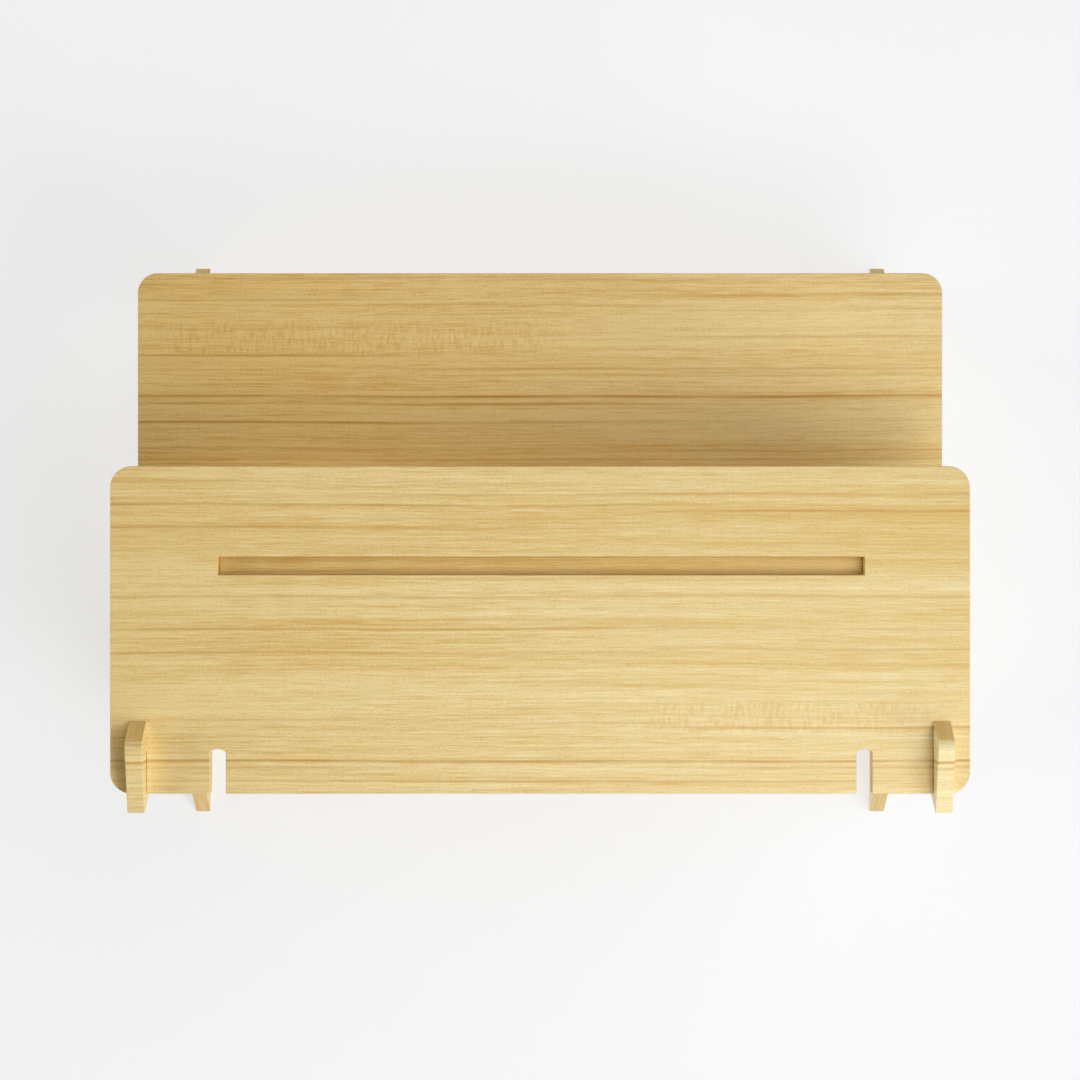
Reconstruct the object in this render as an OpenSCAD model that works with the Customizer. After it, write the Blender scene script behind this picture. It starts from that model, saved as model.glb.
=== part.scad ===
// Bench desk for a library: a worktop and a lower bench board, each slotted onto two side plates that
// are tied together by two beams. Millimetres, +Z up, +X to the right of somebody standing in front.
// The front is -Y. The origin is on the floor, under the middle of the object.

/* [Boards] */
// Length of the worktop and of the bench board, side to side
board_w = 1200; // [1150:10:1400]
// Depth of the worktop and of the bench board, front to rear
board_d = 457; // [440:1:480]
// Thickness of all the boards, plates and beams
board_t = 24; // [21:1:27]
// Radius of the boards' four corners
corner_r = 30; // [10:1:40]
// Height of the worktop's upper face
worktop_h = 696; // [680:1:740]
// Height of the bench board's upper face
bench_h = 450; // [430:1:460]
// How far the worktop's front edge stands in front of the middle of the base
worktop_front = 354; // [345:1:362]
// How far the bench board's rear edge stands behind the middle of the base
bench_rear = 398; // [390:1:405]

/* [Cuts in the worktop] */
// Length of the groove along the worktop
groove_l = 903; // [600:1:940]
// Width of the groove
groove_w = 25.4; // [24.4:0.2:30]
// Distance from the worktop's rear edge to the middle of the groove
groove_back = 139; // [120:1:150]
// Distance between the middles of the two open slots in the front edge
slot_spacing = 902; // [700:1:940]
// How far the groove and the two open slots together stand to the right of the worktop's middle
cuts_shift = 1.7; // [0:0.1:3]
// Width of the two open slots
slot_w = 22; // [16:0.5:30]
// Depth of a slot, from the board's front edge to the sides of its closed end
slot_d = 58.5; // [50:0.5:60]
// How far the closed end of a slot is bowed
slot_bow = 3.5; // [1:0.5:4]

/* [Side plates] */
// Depth of the base over both feet
base_d = 905; // [880:5:940]
// Length of the foot's lower edge
foot_l = 140; // [120:5:160]
// Lean of the legs from upright, in degrees
leg_lean = 33; // [31:1:35]
// Height of the arch between the feet
arch_h = 200; // [170:5:220]
// Distance from a board's end to the outer face of the side plate
plate_inset = 27; // [20:1:40]
// How far the hook on top reaches back over the worktop, from its front edge
hook_reach = 102; // [95:1:110]
// Slope of the hook's rear edge, in degrees
hook_slope = 57; // [50:1:62]
// How far the hook's tip stands out in front of the worktop
tip_out = 25.6; // [15:0.2:30]
// Height of the hook's tip above the worktop
tip_rise = 15.5; // [10:0.5:20]
// Slope of the hook's long top edge, in degrees
hook_fall = 16.8; // [14:0.2:18]
// Lean of the front edge under the tip, in degrees
tip_lean = 29.1; // [26:0.1:32]

/* [Beams] */
// Height of both beams
beam_h = 90; // [80:5:100]
// Thickness of both beams, which fills the groove's width
beam_t = 25; // [22:0.5:25]
// Height of the upper beam's tongue, which closes the groove from below
tongue_h = 2; // [1:0.5:6]
// Distance from the bench board's rear edge to the middle of the lower beam
lower_beam_back = 228; // [210:1:240]

/* [Fasteners and feet] */
// Diameter of the beam bolts
bolt_d = 6; // [5:1:8]
// Length of the beam bolts under the head
bolt_l = 60; // [55:1:65]
// Distance between the two bolts in one end of a beam
bolt_spacing = 50; // [40:2:54]
// Length of a bracket's two legs
bracket_leg = 38; // [36:1:40]
// Height of the foot glides
glide_h = 3; // [2:0.5:5]

/* [Hidden] */

$fn = 96;
cut = 1;                 // how far a cutter runs past the face that it cuts
fit = 0.25;              // play on each side where one board slots into another
play = 0.1;              // play around a fastener
seam = 0.02;             // see rounded_outline

wood = [0.87, 0.77, 0.56];
wood_edge = [0.80, 0.67, 0.45];
wood_dark = [0.70, 0.56, 0.34];
steel = [0.72, 0.73, 0.75];
black = [0.13, 0.13, 0.14];

// Heights of the boards' undersides
worktop_z = worktop_h - board_t;
bench_z = bench_h - board_t;
// Fronts and rears of the boards, as Y
worktop_y0 = -worktop_front;
worktop_y1 = worktop_y0 + board_d;
bench_y1 = bench_rear;
bench_y0 = bench_y1 - board_d;
groove_y = worktop_y1 - groove_back;
// Inner face of the right-hand side plate, as X
plate_x = board_w / 2 - plate_inset - board_t;
plate_slot_w = board_t + 2 * fit;
plate_slot_x = plate_x + board_t / 2;
// The slot's bowed end is an arc through its two corners
slot_end = slot_d + slot_bow;

// Beams: their middles as [Y, Z], and the bolts and the dowel around that middle
beam_l = 2 * plate_x;
upper_beam_at = [groove_y, worktop_z - beam_h / 2];
lower_beam_at = [bench_y1 - lower_beam_back, bench_z - beam_h / 2];
beams_at = [upper_beam_at, lower_beam_at];
bolt_rises = [-bolt_spacing / 2, bolt_spacing / 2];
bolt_head_d = 17;
bolt_head_h = 2.4;
bolt_hole_d = bolt_d + 0.6;
nut_d = 10;
nut_l = 14;
nut_in = 28;             // from the beam's end to the middle of the barrel nut
nut_face = 5;            // from the beam's rear face to the end of the barrel nut
dowel_d = 8;
dowel_l = 40;
dowel_in_plate = 14;

// Brackets under the boards, each as [X, Y, turn]; its upright leg stands against a plate or a beam
bracket_t = 2;
bracket_w = 18;
bracket_holes = [14, 29];    // along each leg, from the bend
beam_bracket_x = 250;
worktop_bracket_ys = [worktop_y0 + 170, worktop_y1 - 70];
bench_bracket_ys = [bench_y0 + 145, bench_y1 - 95];
worktop_brackets_at = brackets_at(worktop_bracket_ys, upper_beam_at[0] - beam_t / 2);
bench_brackets_at = brackets_at(bench_bracket_ys, lower_beam_at[0] - beam_t / 2);
screw_d = 4;
screw_l = 16;
screw_head_d = 8;
screw_head_h = 1.9;

// Glides: two under each foot
glide_d = 20;
glide_edge = 0.8;
glide_from_end = 25;
glide_screw_d = 3;
glide_screw_head_d = 6;
glide_screw_head_h = 1.6;
glide_recess = 0.6;      // the screw's head stays this far above the floor
foot_ys = [base_d / 2 - glide_from_end, base_d / 2 - foot_l + glide_from_end];

// ---- Geometry helpers ----

function unit(v) = v / norm(v);
function cross2(a, b) = a[0] * b[1] - a[1] * b[0];
function bearing(angle) = [cos(angle), sin(angle)];
// Where the line through p along u crosses the line through q along v
function meet(p, u, q, v) = p + u * cross2(q - p, v) / cross2(u, v);
function xy(p) = [p[0], p[1]];

// A corner of an outline is [x, y, radius]. These work out its round: how far the arc's ends are from
// the corner, the two ends, the arc's centre, and whether the corner points outwards.
function before(ps, i) = unit(xy(ps[(i + len(ps) - 1) % len(ps)]) - xy(ps[i]));
function after(ps, i) = unit(xy(ps[(i + 1) % len(ps)]) - xy(ps[i]));
function half_angle(ps, i) = acos(before(ps, i) * after(ps, i)) / 2;
function run(ps, i) = ps[i][2] / tan(half_angle(ps, i));
function arc_ends(ps, i) = [xy(ps[i]) + before(ps, i) * run(ps, i), xy(ps[i]) + after(ps, i) * run(ps, i)];
function arc_centre(ps, i) =
    xy(ps[i]) + unit(before(ps, i) + after(ps, i)) * ps[i][2] / sin(half_angle(ps, i));
function points_out(ps, i) = cross2(before(ps, i), after(ps, i)) < 0;

// An outline, counter-clockwise, whose corners are rounded by true arcs. Each arc stops short of its
// straight neighbours by the width of the seam, so that it crosses the chord cleanly.
module rounded_outline(ps) {
    rounds = [for (i = [0 : len(ps) - 1]) if (ps[i][2] > 0) i];
    difference() {
        union() {
            polygon([for (i = [0 : len(ps) - 1]) each ps[i][2] > 0 ? arc_ends(ps, i) : [xy(ps[i])]]);
            for (i = rounds) if (points_out(ps, i)) translate(arc_centre(ps, i)) circle(ps[i][2] - seam);
        }
        for (i = rounds) if (!points_out(ps, i)) translate(arc_centre(ps, i)) circle(ps[i][2] - seam);
    }
}

// Both sides of the object
module mirrored() {
    children();
    mirror([1, 0, 0]) children();
}

// ---- Boards ----

module board_outline(y0) {
    x = board_w / 2;
    rounded_outline([[-x, y0, corner_r], [x, y0, corner_r], [x, y0 + board_d, corner_r],
                     [-x, y0 + board_d, corner_r]]);
}

// A slot that is open at the board's front edge and has a shallow bow at its closed end. The bow's arc
// stands a seam above the slot's two corners, so that it crosses the sides cleanly.
module edge_slot(x, y0, w) {
    bow_r = w * w / (8 * slot_bow) + slot_bow / 2;
    translate([x, y0]) {
        translate([-w / 2, -cut]) square([w, slot_d + cut]);
        intersection() {
            translate([0, slot_end - bow_r + seam]) circle(bow_r);
            translate([-w / 2, slot_d - cut]) square([w, slot_bow + 2 * cut]);
        }
    }
}

module board(y0, z0) {
    translate([0, 0, z0]) linear_extrude(board_t) difference() {
        board_outline(y0);
        for (side = [-1, 1]) edge_slot(side * plate_slot_x, y0, plate_slot_w);
        children();
    }
}

module worktop() {
    color(wood) difference() {
        board(worktop_y0, worktop_z) {
            for (side = [-1, 1]) edge_slot(cuts_shift + side * slot_spacing / 2, worktop_y0, slot_w);
            translate([cuts_shift - groove_l / 2, groove_y - groove_w / 2]) square([groove_l, groove_w]);
        }
        place_brackets(worktop_brackets_at, worktop_z) bracket_pilots_up();
    }
}

module bench_board() {
    color(wood) difference() {
        board(bench_y0, bench_z);
        place_brackets(bench_brackets_at, bench_z) bracket_pilots_up();
    }
}

// ---- Side plates ----

// The plate's outline as [Y, Z, radius], counter-clockwise from the toe of the front foot
function plate_corners() =
    let (
        half = base_d / 2,
        heel = half - foot_l,
        arch_y = heel - (arch_h - glide_h) * tan(leg_lean),
        // the bench board lies on a long rear arm and slots in under a lip
        arm_end = bench_y1 - 15,
        arm_low = [arm_end, bench_z - 30],
        rear_elbow = meet([half, glide_h], bearing(90 + leg_lean), arm_low, bearing(210)),
        bench_notch = bench_y0 + slot_d - fit,
        bench_lip = bench_y0 + hook_reach,
        neck = [bench_lip - 28, bench_h + 28 * tan(hook_slope)],
        // the worktop lies on the upper arms and slots in under the hook
        top_end = worktop_y1 - 28,
        top_notch = worktop_y0 + slot_d - fit,
        hook_foot = [worktop_y0 + hook_reach, worktop_h + fit],
        tip = [worktop_y0 - tip_out, worktop_h + tip_rise],
        crest = meet(hook_foot, bearing(180 - hook_slope), tip, bearing(hook_fall)),
        front_waist = meet([-half, glide_h], bearing(90 - leg_lean), tip, bearing(tip_lean - 90))
    )
    [[-half, glide_h, 0], [-heel, glide_h, 0], [-arch_y, arch_h, 70], [arch_y, arch_h, 70],
     [heel, glide_h, 0], [half, glide_h, 0], [rear_elbow[0], rear_elbow[1], 60],
     [arm_low[0], arm_low[1], 12], [arm_end, bench_z, 0], [bench_notch, bench_z, 0],
     [bench_notch, bench_h + fit, 0], [bench_lip, bench_h + fit, 2], [neck[0], neck[1], 45],
     [top_end, worktop_z - 45, 12], [top_end, worktop_z, 0], [top_notch, worktop_z, 0],
     [top_notch, worktop_h + fit, 0], [hook_foot[0], hook_foot[1], 1], [crest[0], crest[1], 18],
     [tip[0], tip[1], 1.2], [front_waist[0], front_waist[1], 60]];

// The plate stands between X = plate_x and X = plate_x + board_t
module side_plate() {
    difference() {
        translate([plate_x, 0, 0]) rotate([90, 0, 90]) linear_extrude(board_t)
            rounded_outline(plate_corners());
        for (at = beams_at) translate([plate_x, at[0], at[1]]) rotate([0, 90, 0]) {
            for (rise = bolt_rises) translate([-rise, 0, -cut])
                cylinder(h = board_t + 2 * cut, d = bolt_hole_d);
            translate([0, 0, -cut]) cylinder(h = dowel_in_plate + play + cut, d = dowel_d + play);
        }
        place_brackets(worktop_brackets_at, worktop_z) bracket_pilots_side();
        place_brackets(bench_brackets_at, bench_z) bracket_pilots_side();
        place_glides() cylinder(h = screw_l + play, d = glide_screw_d + play);
    }
}

module side_plate_right() { color(wood_edge) side_plate(); }
module side_plate_left() { color(wood_edge) mirror([1, 0, 0]) side_plate(); }

// ---- Beams ----

// Holes for the bolts, the barrel nuts and the dowel in the right-hand end of a beam
module beam_end_holes() {
    for (rise = bolt_rises) translate([beam_l / 2, 0, rise]) {
        rotate([0, -90, 0]) translate([0, 0, -cut]) cylinder(h = bolt_l - board_t + 2 + cut, d = bolt_hole_d);
        translate([-nut_in, beam_t / 2 + cut, 0]) rotate([90, 0, 0])
            cylinder(h = nut_face + nut_l + play + cut, d = nut_d + 2 * play);
    }
    translate([beam_l / 2 + cut, 0, 0]) rotate([0, -90, 0])
        cylinder(h = dowel_l - dowel_in_plate + play + cut, d = dowel_d + play);
}

module beam(at) {
    translate([0, at[0], at[1]]) difference() {
        union() {
            cube([beam_l, beam_t, beam_h], center = true);
            children();
        }
        mirrored() beam_end_holes();
    }
}

// The tongue on the upper beam rises into the groove and keeps the worktop on its slots
module upper_beam() {
    color(wood_dark) difference() {
        beam(upper_beam_at) translate([cuts_shift - groove_l / 2 + fit, -beam_t / 2, beam_h / 2 - cut])
            cube([groove_l - 2 * fit, beam_t, tongue_h + cut]);
        place_brackets(worktop_brackets_at, worktop_z) bracket_pilots_side();
    }
}

module lower_beam() {
    color(wood_dark) difference() {
        beam(lower_beam_at);
        place_brackets(bench_brackets_at, bench_z) bracket_pilots_side();
    }
}

// ---- Beam fasteners ----

// Along +X from the outer face of the right-hand plate, with its shank pointing inwards
module beam_bolt() {
    rotate([0, -90, 0]) difference() {
        union() {
            translate([0, 0, -bolt_head_h]) cylinder(h = bolt_head_h, d1 = bolt_head_d - 2, d2 = bolt_head_d);
            cylinder(h = bolt_l - 1, d = bolt_d);
            translate([0, 0, bolt_l - 1]) cylinder(h = 1, d1 = bolt_d, d2 = bolt_d - 1.6);
        }
        translate([0, 0, -bolt_head_h - cut]) cylinder(h = 1.8 + cut, d = 4.6, $fn = 6);
    }
}

module at_each_bolt() {
    for (at = beams_at, rise = bolt_rises) translate([0, at[0], at[1] + rise]) children();
}

module beam_bolts() {
    color(steel) mirrored() at_each_bolt() translate([plate_x + board_t, 0, 0]) beam_bolt();
}

// A steel cylinder with a cross hole for the bolt and a slot for turning it in line
module barrel_nut() {
    difference() {
        rotate([90, 0, 0]) cylinder(h = nut_l, d = nut_d, center = true);
        rotate([0, 90, 0]) cylinder(h = nut_d + 2 * cut, d = bolt_d + play, center = true);
        translate([0, nut_l / 2, 0]) cube([nut_d + 2 * cut, 2.4, 1.4], center = true);
    }
}

module barrel_nuts() {
    color(steel) mirrored() at_each_bolt()
        translate([plate_x - nut_in, beam_t / 2 - nut_face - nut_l / 2, 0]) barrel_nut();
}

module beam_dowels() {
    chamfer = 1;
    end_d = dowel_d - 2 * chamfer;
    color(wood) mirrored() for (at = beams_at)
        translate([plate_x + dowel_in_plate, at[0], at[1]]) rotate([0, -90, 0]) {
            cylinder(h = chamfer, d1 = end_d, d2 = dowel_d);
            translate([0, 0, chamfer]) cylinder(h = dowel_l - 2 * chamfer, d = dowel_d);
            translate([0, 0, dowel_l - chamfer]) cylinder(h = chamfer, d1 = dowel_d, d2 = end_d);
        }
}

// ---- Brackets under the boards ----

function brackets_at(plate_ys, beam_face) = concat(
    [for (y = plate_ys) [-plate_x, y, 0]],
    [for (y = plate_ys) [plate_x, y, 180]],
    [for (x = [-beam_bracket_x, beam_bracket_x]) [x, beam_face, -90]]);

// Puts its children at each bracket's bend: +X away from the plate or beam, and Z = 0 at the board
module place_brackets(places, z) {
    for (p = places) translate([p[0], p[1], z]) rotate([0, 0, p[2]]) children();
}

// The screws of one bracket, from the face of the bracket into the wood
module bracket_screws_up() {
    for (d = bracket_holes) translate([d, 0, -bracket_t]) children();
}

module bracket_screws_side() {
    for (d = bracket_holes) translate([bracket_t, 0, -d]) rotate([0, -90, 0]) children();
}

module pilot() { cylinder(h = screw_l + play, d = screw_d + play); }
module bracket_pilots_up() { bracket_screws_up() pilot(); }
module bracket_pilots_side() { bracket_screws_side() pilot(); }

module countersunk_hole() {
    translate([0, 0, -cut]) cylinder(h = bracket_t + 2 * cut, d = screw_d + 0.5);
    translate([0, 0, -play]) cylinder(h = screw_head_h, d1 = screw_head_d + 2 * play, d2 = screw_d + 0.5);
}

module bracket() {
    t = bracket_t;
    leg = bracket_leg;
    difference() {
        translate([0, bracket_w / 2, 0]) rotate([90, 0, 0]) linear_extrude(bracket_w)
            rounded_outline([[0, 0, 3], [0, -leg, 0.8], [t, -leg, 0.8], [t, -t, 1], [leg, -t, 0.8],
                             [leg, 0, 0.8]]);
        bracket_screws_up() countersunk_hole();
        bracket_screws_side() countersunk_hole();
    }
}

// A countersunk wood screw: the face of its head at the origin, and its point along +Z
module wood_screw(d, l, head_d, head_h) {
    point = d;
    difference() {
        union() {
            cylinder(h = head_h, d1 = head_d, d2 = d);
            translate([0, 0, head_h]) cylinder(h = l - head_h - point, d = d);
            translate([0, 0, l - point]) cylinder(h = point, d1 = d, d2 = d / 5);
        }
        for (turn = [0, 90]) rotate([0, 0, turn]) cube([head_d * 0.55, 0.9, head_h * 1.2], center = true);
    }
}

module bracket_screw() { wood_screw(screw_d, screw_l, screw_head_d, screw_head_h); }

module brackets(places, z) { color(steel) place_brackets(places, z) bracket(); }

module bracket_screws(places, z) {
    color(steel) place_brackets(places, z) {
        bracket_screws_up() bracket_screw();
        bracket_screws_side() bracket_screw();
    }
}

module worktop_brackets() { brackets(worktop_brackets_at, worktop_z); }
module worktop_bracket_screws() { bracket_screws(worktop_brackets_at, worktop_z); }
module bench_brackets() { brackets(bench_brackets_at, bench_z); }
module bench_bracket_screws() { bracket_screws(bench_brackets_at, bench_z); }

// ---- Feet ----

// Puts its children on the floor under every glide of the right-hand plate
module place_glides() {
    for (y = foot_ys, side = [-1, 1]) translate([plate_slot_x, side * y, 0]) children();
}

module glide() {
    head_d = glide_screw_head_d + 2 * play;
    shank_d = glide_screw_d + 2 * play;
    difference() {
        union() {
            cylinder(h = glide_edge, d1 = glide_d - 2 * glide_edge, d2 = glide_d);
            translate([0, 0, glide_edge]) cylinder(h = glide_h - glide_edge, d = glide_d);
        }
        translate([0, 0, -cut]) cylinder(h = glide_recess + cut, d = head_d);
        translate([0, 0, glide_recess - play]) cylinder(h = glide_screw_head_h, d1 = head_d, d2 = shank_d);
        cylinder(h = glide_h + cut, d = shank_d);
    }
}

module foot_glides() { color(black) mirrored() place_glides() glide(); }

module glide_screws() {
    color(steel) mirrored() place_glides() translate([0, 0, glide_recess])
        wood_screw(glide_screw_d, screw_l - glide_recess, glide_screw_head_d, glide_screw_head_h);
}

worktop();
bench_board();
side_plate_left();
side_plate_right();
upper_beam();
lower_beam();
beam_bolts();
barrel_nuts();
beam_dowels();
worktop_brackets();
worktop_bracket_screws();
bench_brackets();
bench_bracket_screws();
foot_glides();
glide_screws();
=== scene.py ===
"""Looks for the bench desk: wood, steel and plastic materials, eased edges, floor, light and camera.

Everything is in metres in the CAD frame: +Z up, -Y the front, the floor at Z = 0.
"""
import math

import bpy
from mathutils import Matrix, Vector


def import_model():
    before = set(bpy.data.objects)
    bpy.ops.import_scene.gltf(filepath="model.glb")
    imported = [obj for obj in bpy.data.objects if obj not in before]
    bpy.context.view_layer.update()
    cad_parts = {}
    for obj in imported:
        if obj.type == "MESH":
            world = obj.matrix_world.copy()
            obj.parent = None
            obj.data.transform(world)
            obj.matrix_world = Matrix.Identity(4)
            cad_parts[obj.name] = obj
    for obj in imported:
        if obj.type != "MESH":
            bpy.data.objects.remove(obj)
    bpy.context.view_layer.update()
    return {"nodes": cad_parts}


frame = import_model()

nodes = frame["nodes"]

BOARDS = ["worktop", "bench_board"]
PLATES = ["side_plate_left", "side_plate_right"]
BEAMS = ["upper_beam", "lower_beam"]
STEEL = ["beam_bolts", "barrel_nuts", "worktop_brackets", "worktop_bracket_screws", "bench_brackets",
         "bench_bracket_screws", "glide_screws"]


# ---- Node graphs ----

class Graph:
    """Short calls for building one material's shader nodes."""

    def __init__(self, name):
        self.material = bpy.data.materials.new(name)
        self.material.use_nodes = True
        self.tree = self.material.node_tree
        self.tree.nodes.clear()
        self.shader = self.node("ShaderNodeBsdfPrincipled")
        output = self.node("ShaderNodeOutputMaterial")
        self.tree.links.new(self.shader.outputs[0], output.inputs["Surface"])

    def node(self, kind, **settings):
        made = self.tree.nodes.new(kind)
        for name, value in settings.items():
            setattr(made, name, value)
        return made

    def put(self, socket, value):
        """Sets a socket to a value, or links it to another node's output."""
        if isinstance(value, bpy.types.NodeSocket):
            self.tree.links.new(value, socket)
        else:
            socket.default_value = value

    def math(self, operation, a, b=0.0, c=0.0, clamp=False):
        made = self.node("ShaderNodeMath", operation=operation, use_clamp=clamp)
        for socket, value in zip(made.inputs, (a, b, c)):
            self.put(socket, value)
        return made.outputs[0]

    def vector(self, x, y, z):
        made = self.node("ShaderNodeCombineXYZ")
        for socket, value in zip(made.inputs, (x, y, z)):
            self.put(socket, value)
        return made.outputs[0]

    def split(self, vector):
        made = self.node("ShaderNodeSeparateXYZ")
        self.put(made.inputs[0], vector)
        return made.outputs[0], made.outputs[1], made.outputs[2]

    def noise(self, vector, scale=1.0, detail=2.0, roughness=0.5):
        made = self.node("ShaderNodeTexNoise")
        self.put(made.inputs["Vector"], vector)
        for name, value in (("Scale", scale), ("Detail", detail), ("Roughness", roughness)):
            made.inputs[name].default_value = value
        return made.outputs[0]

    def remap(self, value, low, high, to_low=0.0, to_high=1.0):
        """Runs softly from to_low to to_high while the value runs from low to high."""
        made = self.node("ShaderNodeMapRange", clamp=True, interpolation_type="SMOOTHSTEP")
        for socket, number in zip(made.inputs[:5], (value, low, high, to_low, to_high)):
            self.put(socket, number)
        return made.outputs[0]

    def mix(self, factor, a, b):
        """Mixes two colours."""
        made = self.node("ShaderNodeMix", data_type="RGBA")
        self.put(made.inputs[0], factor)
        self.put(made.inputs[6], a if isinstance(a, bpy.types.NodeSocket) else (*a, 1.0))
        self.put(made.inputs[7], b if isinstance(b, bpy.types.NodeSocket) else (*b, 1.0))
        return made.outputs[2]

    def times(self, a, b):
        """Multiplies two colours."""
        made = self.node("ShaderNodeMix", data_type="RGBA", blend_type="MULTIPLY")
        made.inputs[0].default_value = 1.0
        self.put(made.inputs[6], a)
        self.put(made.inputs[7], b)
        return made.outputs[2]

    def blend(self, factor, a, b):
        """Mixes two numbers."""
        made = self.node("ShaderNodeMix", data_type="FLOAT")
        for socket, value in zip((made.inputs[0], made.inputs[2], made.inputs[3]), (factor, a, b)):
            self.put(socket, value)
        return made.outputs[0]

    def ramp(self, position, stops):
        """A number that runs through the (position, value) stops, at most 32 of them."""
        made = self.node("ShaderNodeValToRGB")
        self.put(made.inputs[0], position)
        points = made.color_ramp.elements
        while len(points) < len(stops):
            points.new(0.5)
        for point, (place, value) in zip(points, stops):
            point.position = place
            point.color = (value, value, value, 1.0)
        return made.outputs[0]

    def bump(self, height, distance, strength=1.0):
        made = self.node("ShaderNodeBump")
        made.inputs["Strength"].default_value = strength
        made.inputs["Distance"].default_value = distance
        self.put(made.inputs["Height"], height)
        self.put(self.shader.inputs["Normal"], made.outputs[0])


# ---- Where the boards lie ----

def span(name, axis):
    """The range of a piece along an axis, 0 to 2 for X to Z, in metres."""
    values = [corner[axis] for corner in nodes[name].bound_box]
    return min(values), max(values)


WORKTOP_FRONT, WORKTOP_REAR = span("worktop", 1)
WORKTOP_UNDER, WORKTOP_TOP = span("worktop", 2)
BENCH_FRONT = span("bench_board", 1)[0]
# Both boards are equally deep from front to rear.
BOARD_DEPTH = WORKTOP_REAR - WORKTOP_FRONT


# ---- Wood ----

# Dark growth lines of the worktop and of the bench board, as (Y in millimetres, strength), for the left,
# the middle and the right of the desk. At most ten in each list, from front to rear.
WORKTOP_LINES = {
    "left": [(-336, 0.25), (-317, 0.30), (-308, 0.70), (-251, 0.25), (-156, 0.45), (-123, 0.45),
             (-78, 0.30), (18, 0.50), (49, 0.80), (82, 0.20)],
    "middle": [(-336, 0.40), (-308, 0.60), (-255, 0.30), (-159, 0.20), (-123, 0.50), (-78, 0.35),
               (18, 0.15), (49, 0.40), (64, 0.35)],
    "right": [(-336, 0.30), (-317, 0.45), (-308, 0.85), (-261, 0.45), (-173, 0.20), (-151, 0.35),
              (-123, 0.25), (-78, 0.25), (40, 0.60), (64, 0.40)],
}
BENCH_LINES = {
    "left": [(-30, 0.35), (41, 0.30), (80, 0.40), (137, 0.35), (176, 0.75), (204, 0.40), (215, 0.60),
             (276, 0.55), (359, 0.30)],
    "middle": [(2, 0.50), (80, 0.35), (121, 0.35), (148, 0.15), (176, 0.35), (204, 0.65), (215, 0.95),
               (246, 0.30), (256, 0.45), (350, 0.20)],
    "right": [(-30, 0.30), (80, 0.40), (121, 0.35), (134, 0.35), (215, 0.85), (246, 0.30), (256, 0.35),
              (303, 0.30), (343, 0.30), (365, 0.40)],
}
# Broad darker and paler bands of the same boards, as (Y in millimetres, how much darker), from front to rear.
WORKTOP_BANDS = [(-354, -0.12), (-300, -0.10), (-275, -0.03), (-245, -0.15), (-190, -0.05), (-100, 0.05),
                 (-68, -0.13), (-35, 0.0), (-5, 0.15), (21, 0.13), (60, 0.09), (80, 0.0)]
# On the bench board the bands from 110 to 200 mm, just behind the worktop's rear edge, are partly painted
# light: the darker band at 128 mm is the worktop's painted shadow, and the paler ones after it lighten that
# shadow.
BENCH_BANDS_AND_PAINTED_SHADE = [(-59, 0.0), (110, 0.02), (128, 0.12), (140, 0.05), (152, -0.12), (175, -0.22), (198, -0.14),
               (209, 0.17), (222, 0.12), (234, -0.08), (250, 0.06), (268, 0.20), (282, -0.06), (320, -0.08),
               (360, -0.12), (378, 0.05), (390, 0.0)]
# Patches of silvery cross figure, as their range in X and in Y, in metres
WORKTOP_FIGURE = (0.10, 0.62, -0.275, -0.215)
BENCH_FIGURE = (-0.62, 0.06, 0.272, 0.335)

# How far a patch of figure fades at its ends, at its front and at its rear
FIGURE_ENDS, FIGURE_FRONT, FIGURE_REAR = 0.1, 0.012, 0.02
# Strokes of the figure per metre, along X and across the grain
STROKES_ALONG, STROKES_ACROSS = 210.0, 50.0

# The wood's colours: palest grain, darkest grain, growth lines
PALE = (0.885, 0.785, 0.460)
TAN = (0.690, 0.462, 0.127)
BROWN = (0.530, 0.245, 0.020)
WHITE = (1.0, 1.0, 1.0)
# What the colours are multiplied by where the wood is warmest, for its own tone and for painted shade
WARM_AND_PAINTED_SHADE = (0.98, 0.80, 0.52)
# Painted shade for the bottom of the groove: what the colours are multiplied by low in it. It starts and is
# complete this far under the worktop's top, and leaves out the worktop's underside.
GROOVE_PAINTED_SHADE = (0.92, 0.89, 0.74)
GROOVE_SHADE_STARTS, GROOVE_SHADE_FULL = 0.008, 0.014
GROOVE_SHADE_ENDS = 0.0005

# Layers of noise in the wood, each as its slice of the noise, the length and the width of its blobs in
# metres, and the noise's detail and roughness
LAYERS = {
    "long_bend": (0.0, 0.42, 0.25, 0.0, 0.5),
    "short_bend": (1.0, 0.12, 0.06, 1.0, 0.5),
    "line_fade": (2.0, 0.16, 0.03, 1.0, 0.5),
    "band": (3.0, 1.3, 0.050, 1.0, 0.5),
    "stripe": (4.0, 0.55, 0.012, 1.0, 0.5),
    "streak": (5.0, 0.26, 0.0036, 2.0, 0.6),
    "fibre": (6.0, 0.050, 0.0015, 2.0, 0.6),
    "pore": (7.0, 0.008, 0.0006, 0.0, 0.5),
    "grit": (8.0, 0.004, 0.0011, 1.0, 0.5),
    "figure_fade": (9.0, 0.05, 0.012, 2.0, 0.5),
}
# How far the layers bend the growth lines, in metres
BENDS = {"long_bend": 0.007, "short_bend": 0.0012}
# How strongly the layers make the wood darker or paler
TONES = {"band": 0.60, "stripe": 0.85, "streak": 1.25, "fibre": 1.75, "grit": 0.90}
# How noise turns into a factor: it runs from the first two values to the last two.
LINE_FADE = (0.30, 0.58, 0.45, 1.0)
FIGURE_FADE = (0.35, 0.60, 0.35, 1.0)
STROKE = (0.42, 0.62, 0.0, 0.48)
PORE = (0.60, 0.78, 0.0, 1.0)
# How dark growth lines and pores are, and how deep next to the fibres
LINE_DARK, PORE_DARK = 1.5, 0.30
LINE_DEEP, PORE_DEEP = 1.0, 1.5
FIBRE_HEIGHT = 0.00003

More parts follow.
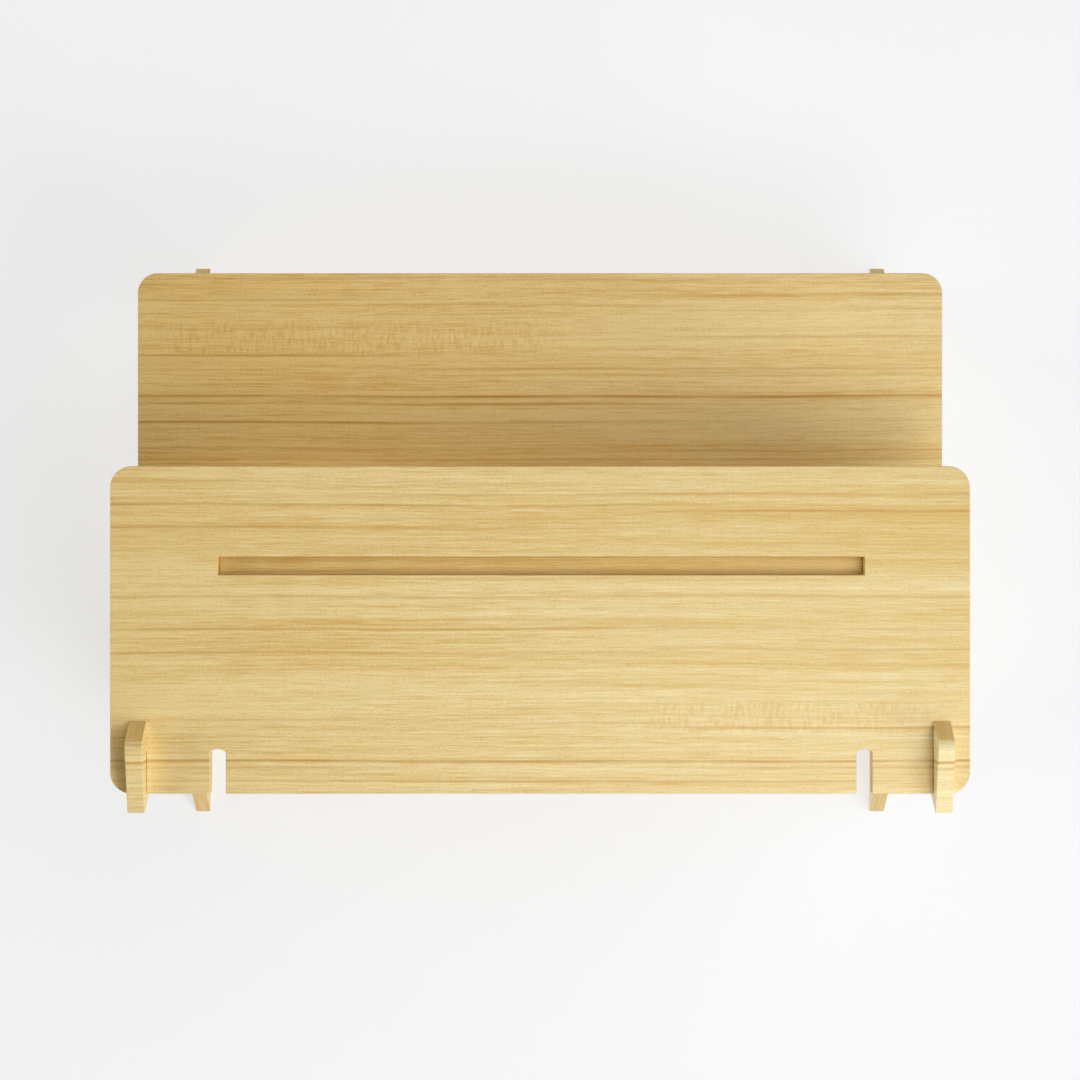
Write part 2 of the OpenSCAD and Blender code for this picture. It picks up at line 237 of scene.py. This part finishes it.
# The growth lines change from the middle list to a side's list between these distances from X = 0.
LINES_MIDDLE, LINES_SIDE = 0.08, 0.32
# How far a growth line fades out on its front side and on its rear side
LINE_FRONT, LINE_REAR = 0.0032, 0.0018
# What is added to the bands' darkness, so that no stop of their ramp is below 0
BAND_LIFT = 0.5
# From the first X to the second, the grain's contrast falls to this part of itself.
CONTRAST_FROM, CONTRAST_TO, CONTRAST_KEPT = -0.3, 0.4, 0.68
# The bench board turns warmer from the first Y to the second, towards the worktop, as the worktop's painted
# shadow.
BENCH_PAINTED_SHADE_FROM, BENCH_PAINTED_SHADE_TO = 0.26, 0.13

# A face looks along an axis if its normal leans further than this towards it.
FACING = 0.7
# On a rounded edge the normal's share along the eased axis is in the middle of these two ranges.
EDGE_RISES, EDGE_FALLS = (0.08, 0.30), (0.99, 0.90)
EDGE_DARK, EDGE_POLISH = 0.10, 0.08
ROUGH, ROUGH_FIBRES = 0.40, 0.16


def place_of(y_mm, front):
    """Where Y lies on a board, from 0 at its front edge to 1 at its rear edge."""
    return (y_mm / 1000.0 - front) / BOARD_DEPTH


def line_stops(lines, front):
    """Each line is a narrow peak, softer on its front side."""
    stops = [(0.0, 0.0)]
    for y, strength in lines:
        place = place_of(y, front)
        stops += [(place - LINE_FRONT / BOARD_DEPTH, 0.0), (place, strength),
                  (place + LINE_REAR / BOARD_DEPTH, 0.0)]
    return stops + [(1.0, 0.0)]


def band_stops(bands, front):
    return [(place_of(y, front), BAND_LIFT + darker) for y, darker in bands]


def wood(name, pattern, figure, shade, warmth_and_painted_light, seed, upright=False):
    """Straight-grained pale wood. Its grain runs along X on flat faces.

    pattern is (growth lines, bands, Y of the front edge). upright is for the side plates: the grain runs up
    their edges, and their rounded edges are told from the faces by X. On the others it runs along every
    edge, and Z tells. shade is (how dark, how much darker per metre of X as painted shade, contrast of the
    grain). The argument after shade gives how much of the warmer tint each place takes: (everywhere, more
    per metre of X, whose negative values paint a paler sheen towards the right, more towards the front of
    the bench board as the worktop's painted shadow, more on faces to the front and rear as painted shade,
    more on faces to the side, whose negative values paint a paler sheen on them).
    """
    lines, bands, front = pattern
    g = Graph(name)
    coord = g.node("ShaderNodeTexCoord")
    x, y, z = g.split(coord.outputs["Object"])
    nx, ny, nz = (g.math("ABSOLUTE", n) for n in g.split(coord.outputs["Normal"]))
    to_front = g.math("GREATER_THAN", ny, FACING)
    to_side = g.math("GREATER_THAN", nx, FACING)
    along, across = g.math("ADD", x, z), y
    if upright:
        edge_along, edge_across = z, x
    else:
        edge_along, edge_across = x, z
        along, across = g.blend(to_side, along, g.math("ADD", x, y)), g.blend(to_side, across, z)
    along = g.blend(to_front, along, g.math("ADD", edge_along, y))
    across = g.blend(to_front, across, edge_across)

    def noises(layers, across):
        """Each layer's noise, which is about 0.5 on average."""
        made = {}
        for layer in layers:
            slice_, length, width, detail, roughness = LAYERS[layer]
            place = g.vector(g.math("MULTIPLY", along, 1.0 / length), g.math("MULTIPLY", across, 1.0 / width),
                             seed + slice_)
            made[layer] = g.noise(place, detail=detail, roughness=roughness)
        return made

    def added(noise, weights):
        """The layers around 0, added up by weight."""
        total = 0.0
        for layer, weight in weights.items():
            total = g.math("MULTIPLY_ADD", g.math("SUBTRACT", noise[layer], 0.5), weight, total)
        return total

    across = g.math("ADD", across, added(noises(BENDS, across), BENDS))
    noise = noises([layer for layer in LAYERS if layer not in BENDS], across)

    place = g.math("MULTIPLY", g.math("SUBTRACT", across, front), 1.0 / BOARD_DEPTH)
    left, middle, right = (g.ramp(place, line_stops(lines[part], front))
                           for part in ("left", "middle", "right"))
    line = g.blend(g.remap(x, -LINES_SIDE, -LINES_MIDDLE), left, middle)
    line = g.blend(g.remap(x, LINES_MIDDLE, LINES_SIDE), line, right)
    line = g.math("MULTIPLY", line, g.remap(noise["line_fade"], *LINE_FADE))

    # The darkening per metre of X is painted shade: the wood's colour turns darker towards the right.
    dark, painted_shade_per_x, contrast = shade
    tone = g.math("MULTIPLY", added(noise, TONES),
                  g.remap(x, CONTRAST_FROM, CONTRAST_TO, contrast, contrast * CONTRAST_KEPT))
    tone = g.math("ADD", tone, g.math("MULTIPLY_ADD", x, painted_shade_per_x, dark), clamp=True)
    broad = g.math("SUBTRACT", g.ramp(place, band_stops(bands, front)), BAND_LIFT)
    tone = g.math("ADD", tone, broad, clamp=True)
    colour = g.mix(tone, PALE, TAN)

    x0, x1, y0, y1 = figure
    patch = g.math("MULTIPLY", g.remap(x, x0, x0 + FIGURE_ENDS), g.remap(x, x1, x1 - FIGURE_ENDS))
    patch = g.math("MULTIPLY", patch, g.remap(y, y0, y0 + FIGURE_FRONT))
    patch = g.math("MULTIPLY", patch, g.remap(y, y1, y1 - FIGURE_REAR))
    patch = g.math("MULTIPLY", patch, g.remap(noise["figure_fade"], *FIGURE_FADE))
    strokes = g.vector(g.math("MULTIPLY", x, STROKES_ALONG), g.math("MULTIPLY", across, STROKES_ACROSS), seed)
    shine = g.math("MULTIPLY", patch, g.remap(g.noise(strokes), *STROKE))
    colour = g.mix(shine, colour, TAN)

    # Past the share everywhere, the warmer tint is painted light: less of it per metre of X paints a paler
    # sheen towards the right, more towards the worktop paints its shadow on the bench board, more on faces to
    # the front and rear paints shade, and less on faces to the side paints a sheen.
    everywhere, painted_sheen_per_x, painted_shade_bench_front, painted_shade_on_edges, painted_sheen_on_sides = warmth_and_painted_light
    tint_and_painted_light = g.math("MULTIPLY_ADD", x, painted_sheen_per_x, everywhere)
    tint_and_painted_light = g.math("MULTIPLY_ADD", g.remap(y, BENCH_PAINTED_SHADE_FROM, BENCH_PAINTED_SHADE_TO), painted_shade_bench_front, tint_and_painted_light)
    tint_and_painted_light = g.math("MULTIPLY_ADD", to_front, painted_shade_on_edges, tint_and_painted_light)
    tint_and_painted_light = g.math("MULTIPLY_ADD", to_side, painted_sheen_on_sides, tint_and_painted_light, clamp=True)
    colour = g.times(colour, g.mix(tint_and_painted_light, WHITE, WARM_AND_PAINTED_SHADE))
    if not upright:
        # Painted shade for the groove's bottom. It falls on every face of the piece from this depth under the
        # worktop's top down to just above the worktop's underside.
        groove_shade = g.math("MULTIPLY", g.remap(z, WORKTOP_TOP - GROOVE_SHADE_STARTS, WORKTOP_TOP - GROOVE_SHADE_FULL),
                        g.math("GREATER_THAN", z, WORKTOP_UNDER + GROOVE_SHADE_ENDS))
        colour = g.times(colour, g.mix(groove_shade, WHITE, GROOVE_PAINTED_SHADE))

    pore = g.remap(noise["pore"], *PORE)
    marks = g.math("ADD", g.math("MULTIPLY", line, LINE_DARK), g.math("MULTIPLY", pore, PORE_DARK),
                   clamp=True)
    colour = g.mix(marks, colour, BROWN)
    eased = nx if upright else nz
    edge = g.math("MULTIPLY", g.remap(eased, *EDGE_RISES), g.remap(eased, *EDGE_FALLS))
    colour = g.mix(g.math("MULTIPLY", edge, EDGE_DARK), colour, BROWN)
    g.put(g.shader.inputs["Base Color"], colour)

    rough = g.math("MULTIPLY_ADD", noise["fibre"], ROUGH_FIBRES, ROUGH)
    rough = g.math("SUBTRACT", rough, g.math("MULTIPLY", edge, EDGE_POLISH))
    g.put(g.shader.inputs["Roughness"], rough)
    deep = g.math("ADD", g.math("MULTIPLY", line, LINE_DEEP), g.math("MULTIPLY", pore, PORE_DEEP))
    g.bump(g.math("SUBTRACT", noise["fibre"], deep), FIBRE_HEIGHT, 0.4)
    return g.material


# ---- Steel and plastic ----

# Zinc between its cloudy patches and in them, clean nylon, and dust on it
ZINC, ZINC_CLOUD = (0.55, 0.56, 0.57), (0.66, 0.65, 0.61)
NYLON, DUST = (0.018, 0.018, 0.020), (0.09, 0.085, 0.08)


def metal(name):
    """Zinc-plated steel, cloudy and finely grained."""
    g = Graph(name)
    place = g.node("ShaderNodeTexCoord").outputs["Object"]
    cloud = g.noise(place, scale=90.0, detail=3.0)
    grit = g.noise(place, scale=2600.0, detail=2.0)
    colour = g.mix(g.remap(cloud, 0.35, 0.65), ZINC, ZINC_CLOUD)
    g.put(g.shader.inputs["Base Color"], colour)
    g.shader.inputs["Metallic"].default_value = 1.0
    g.put(g.shader.inputs["Roughness"], g.math("MULTIPLY_ADD", g.math("ADD", cloud, grit), 0.18, 0.18))
    g.bump(grit, 0.00002, 0.4)
    return g.material


def plastic(name):
    """Dark nylon with a little dust."""
    g = Graph(name)
    place = g.node("ShaderNodeTexCoord").outputs["Object"]
    grit = g.noise(place, scale=1800.0, detail=3.0)
    dust = g.remap(g.noise(place, scale=60.0, detail=4.0), 0.45, 0.75)
    colour = g.mix(g.math("MULTIPLY", dust, 0.3), NYLON, DUST)
    g.put(g.shader.inputs["Base Color"], colour)
    g.put(g.shader.inputs["Roughness"], g.math("MULTIPLY_ADD", grit, 0.25, 0.38))
    g.bump(grit, 0.00005, 0.5)
    return g.material


def dress(names, material):
    for name in names:
        slots = nodes[name].data.materials
        for i in range(len(slots)):
            slots[i] = material


# Each piece's darkening per metre of X and its tint values past the first are painted shade and sheen, as
# wood() describes.
WORKTOP_PATTERN = (WORKTOP_LINES, WORKTOP_BANDS, WORKTOP_FRONT)
BENCH_PATTERN = (BENCH_LINES, BENCH_BANDS_AND_PAINTED_SHADE, BENCH_FRONT)
dress(["worktop"], wood("worktop_wood", WORKTOP_PATTERN, WORKTOP_FIGURE, seed=0.0,
                        shade=(0.46, 0.40, 1.05), warmth_and_painted_light=(0.33, -0.64, 0.0, 0.0, -0.1)))
dress(["bench_board"], wood("bench_wood", BENCH_PATTERN, BENCH_FIGURE, seed=20.0,
                            shade=(0.25, 0.12, 1.45), warmth_and_painted_light=(0.80, -0.45, 0.10, 0.0, 0.0)))
dress(PLATES, wood("plate_wood", WORKTOP_PATTERN, WORKTOP_FIGURE, seed=0.0, upright=True,
                   shade=(0.36, 0.0, 1.0), warmth_and_painted_light=(0.20, -0.45, 0.0, 0.75, -0.2)))
dress(BEAMS, wood("beam_wood", WORKTOP_PATTERN, BENCH_FIGURE, seed=40.0,
                  shade=(0.40, 0.0, 1.1), warmth_and_painted_light=(0.55, -0.10, 0.0, 0.0, 0.0)))
dress(["beam_dowels"], wood("dowel_wood", BENCH_PATTERN, BENCH_FIGURE, seed=60.0,
                            shade=(0.30, 0.0, 1.0), warmth_and_painted_light=(0.0, 0.0, 0.0, 0.0, 0.0)))
dress(STEEL, metal("zinc_steel"))
dress(["foot_glides"], plastic("glide_nylon"))

# ---- Eased edges ----

EASE = 0.0012
# Points closer together than this are one point.
WELD = 0.00005
# Faces within this angle are flat, and edges beyond this one are rounded.
FLAT, SHARP = math.radians(0.5), math.radians(35)


def ease(name):
    """Rounds a wooden piece's edges. The triangles of each flat face are joined first."""
    piece = nodes[name]
    weld = piece.modifiers.new("weld", "WELD")
    weld.merge_threshold = WELD
    flat = piece.modifiers.new("flat", "DECIMATE")
    flat.decimate_type = "DISSOLVE"
    flat.angle_limit = FLAT
    bevel = piece.modifiers.new("ease", "BEVEL")
    bevel.width = EASE
    bevel.segments = 2
    bevel.limit_method = "ANGLE"
    bevel.angle_limit = SHARP
    bevel.use_clamp_overlap = False
    bevel.harden_normals = False
    normals = piece.modifiers.new("normals", "WEIGHTED_NORMAL")
    normals.keep_sharp = False


for name in BOARDS + PLATES + BEAMS:
    ease(name)

# ---- Floor, light and camera ----

# A slightly cool grey, which offsets the warm light from the wood
FLOOR_PAINT = (0.3364, 0.345, 0.3605)
FLOOR_GLOW = 0.638
FLOOR_HALF = 40.0


def floor():
    mesh = bpy.data.meshes.new("floor")
    corners = [(side_x * FLOOR_HALF, side_y * FLOOR_HALF, 0) for side_x, side_y in
               ((-1, -1), (1, -1), (1, 1), (-1, 1))]
    mesh.from_pydata(corners, [], [(0, 1, 2, 3)])
    made = bpy.data.objects.new("floor", mesh)
    bpy.context.scene.collection.objects.link(made)
    g = Graph("floor_paint")
    g.shader.inputs["Base Color"].default_value = (*FLOOR_PAINT, 1.0)
    g.shader.inputs["Emission Color"].default_value = (1.0, 1.0, 1.0, 1.0)
    g.shader.inputs["Emission Strength"].default_value = FLOOR_GLOW
    g.shader.inputs["Roughness"].default_value = 0.9
    g.shader.inputs["Specular IOR Level"].default_value = 0.0
    mesh.materials.append(g.material)


# Broad soft lights far away: name, bearing and height angle in degrees, spread in degrees, W/m2.
# Bearing 0 is to the right and 90 to the rear.
BROAD = [
    ("left_light", 180, 18, 32, 1.26),
    ("front_right_light", 315, 22, 36, 0.95),
    ("front_light", 270, 15, 30, 0.26),
    ("right_light", 330, 35, 40, 0.25),
    ("high_right_light", 0, 50, 40, 0.40),
    ("high_rear_light", 45, 50, 40, 0.88),
]
# Soft panels near the desk: name, place in metres, size in metres, watts
PANELS = [
    ("key_panel", (1.05, -1.05, 2.77), 0.9, 18.0),
    ("top_panel", (0.6, -0.5, 2.1), 0.5, 3.6),
]
# All lights point here. The broad ones only have a direction, and stand this far away.
AIM = Vector((0.0, 0.0, 0.4))
BROAD_DISTANCE = 5.0
WALL = (0.86, 0.87, 0.88)


def light(name, kind, place, strength):
    data = bpy.data.lights.new(name, kind)
    data.energy = strength
    made = bpy.data.objects.new(name, data)
    made.location = place
    made.rotation_euler = (AIM - Vector(place)).to_track_quat("-Z", "Y").to_euler()
    made.visible_camera = False
    bpy.context.scene.collection.objects.link(made)
    return data


def broad_light(name, bearing, rise, spread, strength):
    turn, lift = math.radians(bearing), math.radians(rise)
    towards = Vector((math.cos(lift) * math.cos(turn), math.cos(lift) * math.sin(turn), math.sin(lift)))
    light(name, "SUN", AIM + towards * BROAD_DISTANCE, strength).angle = math.radians(spread)


def panel(name, place, size, watts):
    data = light(name, "AREA", place, watts)
    data.shape = "SQUARE"
    data.size = size


def world(colour):
    """A pale wall far away, which gives no light."""
    made = bpy.data.worlds.new("studio")
    made.use_nodes = True
    background = made.node_tree.nodes["Background"]
    background.inputs[0].default_value = (*colour, 1.0)
    background.inputs[1].default_value = 1.0
    bpy.context.scene.world = made
    made.cycles_visibility.diffuse = False
    made.cycles_visibility.glossy = False
    made.cycles_visibility.transmission = False


# The camera looks straight down. Its height is in metres, the lens and the sensor in millimetres.
CAMERA_HEIGHT = 4.253
LENS, SENSOR = 85.0, 36.0


def camera():
    data = bpy.data.cameras.new("camera")
    data.sensor_width = SENSOR
    data.lens = LENS
    made = bpy.data.objects.new("camera", data)
    made.location = (0.0, 0.0, CAMERA_HEIGHT)
    bpy.context.scene.collection.objects.link(made)
    bpy.context.scene.camera = made


floor()
world(WALL)
for described in BROAD:
    broad_light(*described)
for described in PANELS:
    panel(*described)
camera()
bpy.context.scene.view_settings.view_transform = "Standard"
